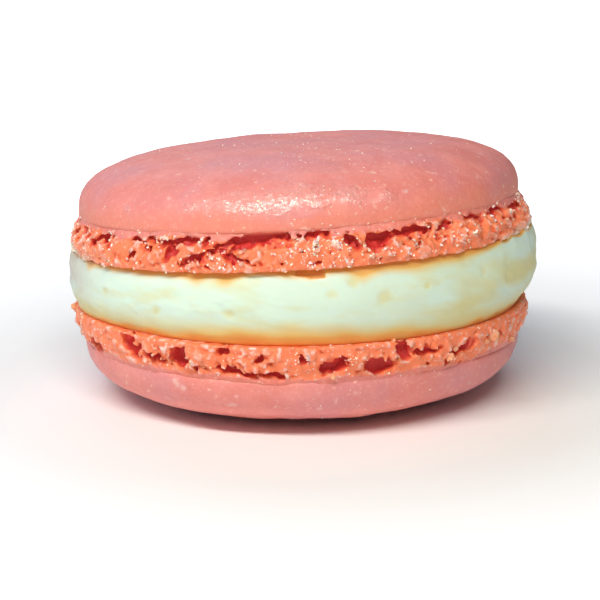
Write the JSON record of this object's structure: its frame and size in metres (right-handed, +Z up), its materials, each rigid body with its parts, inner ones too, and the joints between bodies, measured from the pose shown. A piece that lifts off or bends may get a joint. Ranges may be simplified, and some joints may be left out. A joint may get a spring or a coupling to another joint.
{
  "type": "french macaron",
  "caption": "Round sandwich biscuit: smooth domed almond shells with ruffled, porous feet around a thick layer of pale buttercream.",
  "frame": {"origin": "under the middle of the macaron, on the surface that it stands on", "axes": "+Z up through the layers; -Y is the side that the upper shell lifts towards most with +X, and +X is where the filling is thickest"},
  "size_m": [0.0461, 0.0463, 0.0252],
  "materials": {
    "shell": "baked almond meringue, coral pink, satin dome and porous orange foot",
    "filling": "smooth pale yellow buttercream, soft satin"
  },
  "bodies": {
    "root": {"bottom_shell": "shell", "filling": "filling", "top_shell": "shell"}
  },
  "joints": []
}
